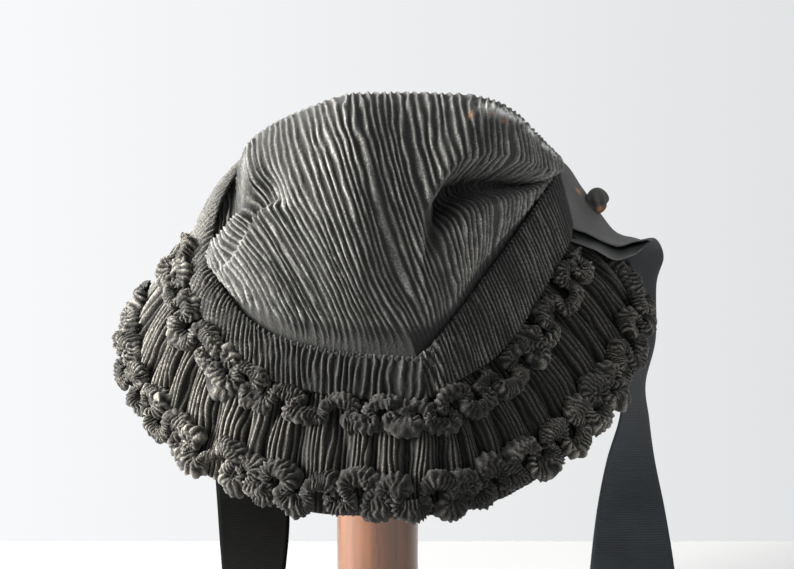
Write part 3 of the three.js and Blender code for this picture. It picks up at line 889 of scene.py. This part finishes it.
band_ribbon = ribbon_finish(
    "band ribbon", (0.06, 0.06, 0.056), (0.17, 0.17, 0.16), length=380, gloss=0.25, stained=True
)
right_tie_ribbon = ribbon_finish(
    "right tie ribbon", (0.016, 0.0185, 0.021), (0.042, 0.048, 0.054), length=260, gloss=0.2, folded=True
)
left_tie_ribbon = ribbon_finish(
    "left tie ribbon", (0.002, 0.002, 0.002), (0.0055, 0.0055, 0.0053), length=170, gloss=0.02
)
print("ribbon finishes made")

# %% The ribbon over the brim
RIBBON_WIDTH = 41.0
RIBBON_LIFT = 2.4
RIBBON_ROWS = 16
RIBBON_WALL = 0.45
SELVEDGE_LIFT = 0.12
RIBBON_STAIN = (100, 36, 246), 1.5
RIBBON_RIGHT_BACK = [
    (73, 48, 272), (83, 25, 256), (86, 12, 245), (90, 1, 234), (100, -5, 230),
    (108, -5, 226), (115, -5, 224), (122, -5, 226), (129, -5, 227),
]
RIBBON_RIGHT_FRONT = [
    (80, 86, 262), (93, 50, 259), (102, 42, 247), (110, 38, 236), (117, 36, 227),
    (122, 36, 224), (127, 36, 223), (131, 36, 222), (136, 36, 220),
]


def ribbon_on_brim(along, side):
    """One edge of the ribbon on the brim; side is -1 for the back and 1 for the front."""
    length = np.linalg.norm(curve_through(BRIM_EDGE, along) - brim_root(along), axis=1)
    middle = 0.68 - 0.08 * np.minimum(1, along * 2)
    forward = middle + side * RIBBON_WIDTH / 2 / length
    run = brim_form(along + PATH_STEP, forward) - brim_form(along - PATH_STEP, forward)
    ahead = brim_form(along, forward + PATH_STEP) - brim_form(along, forward - PATH_STEP)
    out = np.cross(run, ahead)
    return brim_form(along, forward) + RIBBON_LIFT * out / np.linalg.norm(out, axis=1, keepdims=True)


def stained_near(points, place, reach):
    """How strongly points near a place are stained, from 0 to 1."""
    return 0.9 * smooth(1.6 - np.linalg.norm(points - np.array(place), axis=1) / reach)


def lay_ribbon(
    name, back, front, columns, material, curl, seed, flip=False, stain=None, turned_edge=0.0
):
    """A ribbon between two edge curves, cupped a little across; its back edge may be turned down."""
    ribbon, along, up = cut_cloth(name + "_cloth", columns, RIBBON_ROWS)
    side = 1 - up if flip else up
    first, last = curve_through(back, along), curve_through(front, along)
    base = first + (last - first) * side[:, None]
    selvedge = smooth((np.abs(up - 0.5) - 0.46) / 0.02)
    cup = curl * (1 - (2 * up - 1) ** 2) + 0.5 * drift(along, up, 9, 2, seed)
    points = base + normals_of(base, columns) * (cup + SELVEDGE_LIFT * selvedge)[:, None]
    marks = {}
    if turned_edge:
        # painted light on the turned-down edge, which is also lowered
        marks["fold"] = smooth((0.14 - side) / 0.1) * smooth((0.3 - along) / 0.06)
        points[:, 2] -= turned_edge * marks["fold"]
    if stain:
        marks["rusty"] = stained_near(points, *stain)
    lay_cloth(ribbon, points, RIBBON_WALL, **marks)
    dress(ribbon, name, material)
    return ribbon


on_brim = np.linspace(0.02, 0.56, 12)
band_back = np.vstack([ribbon_on_brim(on_brim, -1), RIBBON_RIGHT_BACK])
band_front = np.vstack([ribbon_on_brim(on_brim, 1), RIBBON_RIGHT_FRONT])
ribbon_band = lay_ribbon(
    "ribbon_band", band_back, band_front, 220, band_ribbon, curl=0.4, seed=81, stain=RIBBON_STAIN
)

# %% The two ties
TIE_RIGHT_BACK = [
    (90, -2, 231), (102, -8, 227), (112, -9, 222), (120, -9, 224), (129, -8, 227),
    (119, 2, 221), (118, 5, 206), (119, 3, 179), (119, -5, 158), (117, -9, 141),
    (111, -11, 121), (107, -9, 95), (105, -3, 63), (105, -1, 50),
]
TIE_RIGHT_FRONT = [
    (110, 34, 230), (117, 34, 224), (125, 34, 222), (131, 34, 222), (139, 35, 222),
    (143, 35, 213), (140, 37, 199), (140, 35, 171), (135, 31, 149), (137, 28, 131),
    (140, 22, 111), (144, 13, 88), (148, 4, 60), (148, 5, 50),
]
TIE_LEFT_BACK = [
    (-84, 17, 200), (-82, 18, 186), (-72, 20, 156), (-59, 22, 128),
    (-50, 30, 100), (-46, 35, 78), (-49, 31, 40),
]
TIE_LEFT_FRONT = [
    (-84, 52, 178), (-82, 53, 164), (-80, 56, 142), (-83, 54, 124),
    (-85, 48, 98), (-84, 44, 77), (-83, 50, 40),
]
TIE_CURL = 0.6
tie_right = lay_ribbon(
    "tie_right", TIE_RIGHT_BACK, TIE_RIGHT_FRONT, 240, right_tie_ribbon, TIE_CURL, seed=91,
    turned_edge=3.5,
)
tie_left = lay_ribbon(
    "tie_left", TIE_LEFT_BACK, TIE_LEFT_FRONT, 140, left_tie_ribbon, TIE_CURL, seed=95, flip=True
)

# %% [markdown]
# ## The knot
#
# A small knot of ribbon sits on the right side. It starts as a rounded form and is fluted like
# gathered ribbon, with a pinched waist.

# %% The knot
KNOT_PLACE = np.array([109.5, 37, 241.0])
KNOT_SIZE = np.array([5.6, 5.6, 6.6])
KNOT_FLUTES, FLUTE_DEPTH, FLUTE_TWIST = 7, 0.1, 2.5
WAIST_DEPTH, WAIST_LEVEL, WAIST_WIDTH = 0.16, -0.25, 0.22
KNOT_STAIN = KNOT_PLACE + np.array([1.5, -4.5, -4.5]), 2.0
bpy.ops.object.select_all(action="DESELECT")
bpy.ops.mesh.primitive_uv_sphere_add(segments=64, ring_count=40, radius=1.0)
knot = bpy.context.object
knot.name = knot.data.name = "knot_ribbon"
spot = np.empty(3 * len(knot.data.vertices))
knot.data.vertices.foreach_get("co", spot)
spot = spot.reshape(-1, 3)
angle = np.arctan2(spot[:, 1], spot[:, 0])
level = spot[:, 2]
flutes = 1 + FLUTE_DEPTH * np.cos(KNOT_FLUTES * angle + FLUTE_TWIST * level) * (1 - level**2)
waist = 1 - WAIST_DEPTH * np.exp(-(((level - WAIST_LEVEL) / WAIST_WIDTH) ** 2))
spot = spot * np.column_stack([flutes * waist, flutes * waist, np.ones_like(waist)])
knot_points = spot * KNOT_SIZE + KNOT_PLACE
knot.data.vertices.foreach_set("co", (knot_points * MM).ravel())
store_mark(knot.data, "rusty", stained_near(knot_points, *KNOT_STAIN))
knot.data.update()
bpy.ops.object.shade_smooth()
dress(knot, "ribbon_knot", band_ribbon)
print("knot made")

# %% [markdown]
# ## The stand
#
# The stand is three turned pieces: a round base, a straight post and a domed head that holds the
# crown up. Each is a flat grid rolled round the post's axis, like work on a lathe, with its
# seam and its centre points merged.

# %% The wood finish
GRAIN_PER_METRE = 260.0
GRAIN_SCALE = (1.0, 1.0, 0.06)
GRAIN_DEPTH = 0.0003


def wood_finish(name, dark, light):
    """Smooth brown wood with grain along the post."""
    material, tree, shader = new_finish(name)
    shader.inputs["Specular IOR Level"].default_value = 0.5
    shader.inputs["Coat Weight"].default_value = 1.0
    shader.inputs["Coat IOR"].default_value = 1.5
    shader.inputs["Coat Roughness"].default_value = 0.42
    place = tree.nodes.new("ShaderNodeMapping")
    place.inputs["Scale"].default_value = GRAIN_SCALE
    tree.links.new(tree.nodes.new("ShaderNodeTexCoord").outputs["Object"], place.inputs["Vector"])
    grain = noise_node(tree, place.outputs["Vector"], GRAIN_PER_METRE, 6.0, 0.65)
    colour = mix_colour(tree, spread(tree, grain, 0.3, 0.7), dark, light)
    tree.links.new(colour, shader.inputs["Base Color"])
    tree.links.new(spread(tree, grain, -0.3, 2.2), shader.inputs["Roughness"])
    add_bump(tree, shader, grain, 0.25, GRAIN_DEPTH)
    return material


stand_wood = wood_finish("stand wood", (0.1, 0.034, 0.0095), (0.175, 0.064, 0.022))

# %% The turned pieces
TURN_COLUMNS, TURN_ROWS = 96, 60
MERGE_WITHIN = 1e-6
SHARP_ANGLE = math.radians(30)


def turn_wood(name, outline):
    """Rolls a grid round the axis to the radius and height pairs of the outline, in mm."""
    piece, along, up = cut_cloth(name + "_turned", TURN_COLUMNS, TURN_ROWS)
    radii, heights = np.array(outline, float).T
    run = length_along(np.column_stack([radii, heights]))
    place = up * run[-1]
    radius, height = np.interp(place, run, radii), np.interp(place, run, heights)
    angle = 2 * math.pi * along
    points = np.column_stack([radius * np.cos(angle), radius * np.sin(angle), height])
    piece.data.vertices.foreach_set("co", (points * MM).ravel())
    piece.data.update()
    bpy.ops.object.mode_set(mode="EDIT")
    bpy.ops.mesh.select_all(action="SELECT")
    bpy.ops.mesh.remove_doubles(threshold=MERGE_WITHIN)
    bpy.ops.mesh.normals_make_consistent(inside=False)
    bpy.ops.object.mode_set(mode="OBJECT")
    bpy.ops.object.shade_smooth_by_angle(angle=SHARP_ANGLE)
    dress(piece, name, stand_wood)


BASE_OUTLINE = [
    (0, 0), (76, 0), (77.5, 0.6), (78, 2), (78, 10), (77.2, 12.4), (75.5, 13.6), (73, 14), (0, 14),
]
POST_OUTLINE = [
    (0, 14.6), (26, 14.6), (25.8, 17), (24.5, 20), (22, 22.6), (20.4, 24.4), (20, 26),
    (20, 240), (0, 240),
]
HEAD_OUTLINE = [
    (0, 240.4), (23, 240.4), (31, 244), (38, 250), (41, 256), (40.4, 262), (37.7, 268), (33, 274),
    (29, 277.6), (22, 281.6), (15.6, 284.2), (8, 285.6), (0, 286),
]
turn_wood("stand_base", BASE_OUTLINE)
turn_wood("stand_post", POST_OUTLINE)
turn_wood("stand_head", HEAD_OUTLINE)
print("stand turned")

# %% [markdown]
# ## Floor, light and camera
#
# The photograph has a pale wall and soft daylight from the left, so a broad area light stands on
# the left, with a weak fill on the right. The camera looks slightly down from behind the bonnet.

# %% The pale floor
FLOOR_COLOUR = (0.5, 0.502, 0.505, 1)
FLOOR_HALF_WIDTH = 3.0
FLOOR_NEAR, FLOOR_FAR = -4.0, 0.217
FLOOR_LEVEL = -0.0005
bpy.ops.object.select_all(action="DESELECT")
bpy.ops.mesh.primitive_grid_add(x_subdivisions=1, y_subdivisions=1, size=1.0)
floor = bpy.context.object
floor_sides = -FLOOR_HALF_WIDTH, FLOOR_HALF_WIDTH
floor_corners = [(x, y, FLOOR_LEVEL) for y in (FLOOR_NEAR, FLOOR_FAR) for x in floor_sides]
floor.data.vertices.foreach_set("co", np.ravel(floor_corners))
floor.data.update()
floor.name = "floor"
pale_floor, tree, shader = new_finish("pale floor")
shader.inputs["Base Color"].default_value = FLOOR_COLOUR
shader.inputs["Roughness"].default_value = 0.9
floor.data.materials.append(pale_floor)

# %% The pale room
ROOM_LIGHT = 0.3
WALL_LIGHT, WALL_SLOPE = 0.86, -0.36
ROOM_COLOUR = (0.985, 1.0, 1.01, 1)
world = bpy.data.worlds.new("pale room")
bpy.context.scene.world = world
world.use_nodes = True
tree = world.node_tree
facing = tree.nodes.new("ShaderNodeSeparateXYZ")
tree.links.new(tree.nodes.new("ShaderNodeTexCoord").outputs["Generated"], facing.inputs[0])
from_left = math_node(tree, "MULTIPLY_ADD", facing.outputs["X"], WALL_SLOPE)
from_left.node.inputs[2].default_value = WALL_LIGHT
behind = spread(tree, facing.outputs["Y"], -0.1, 0.5)
room = math_node(tree, "MULTIPLY_ADD", behind, 1.0 - ROOM_LIGHT)
room.node.inputs[2].default_value = ROOM_LIGHT
background = tree.nodes["Background"]
tree.links.new(math_node(tree, "MULTIPLY", from_left, room), background.inputs["Strength"])
background.inputs["Color"].default_value = ROOM_COLOUR
bpy.context.scene.view_settings.view_transform = "Standard"

# %% The lights
AIM = Vector((9.6, 0, 205)) * MM


def soft_light(name, place, size, power, colour):
    """A square area light turned to the bonnet."""
    lamp = bpy.data.lights.new(name, "AREA")
    lamp.size, lamp.energy, lamp.color = size, power, colour
    holder = bpy.data.objects.new(name, lamp)
    bpy.context.scene.collection.objects.link(holder)
    holder.location = place
    holder.rotation_mode = "QUATERNION"
    holder.rotation_quaternion = (AIM - Vector(place)).to_track_quat("-Z", "Y")


soft_light("window light", (-2.5, -0.4, 0.95), 1.5, 350.0, (1.0, 0.985, 0.96))
soft_light("room fill", (1.1, -0.9, 0.9), 1.2, 7.0, (0.93, 0.97, 1.0))

# %% The camera
LENS, SENSOR_WIDTH = 70.0, 36.0
CAMERA_DISTANCE = 0.741
CAMERA_ELEVATION = math.radians(10)
camera = bpy.data.objects.new("camera", bpy.data.cameras.new("camera"))
bpy.context.scene.collection.objects.link(camera)
camera.data.lens = LENS
camera.data.sensor_width = SENSOR_WIDTH
back = Vector((0, -math.cos(CAMERA_ELEVATION), math.sin(CAMERA_ELEVATION)))
camera.location = AIM + back * CAMERA_DISTANCE
camera.rotation_mode = "QUATERNION"
camera.rotation_quaternion = (-back).to_track_quat("-Z", "Y")
bpy.context.scene.camera = camera
print("camera at", tuple(round(v, 3) for v in camera.location))
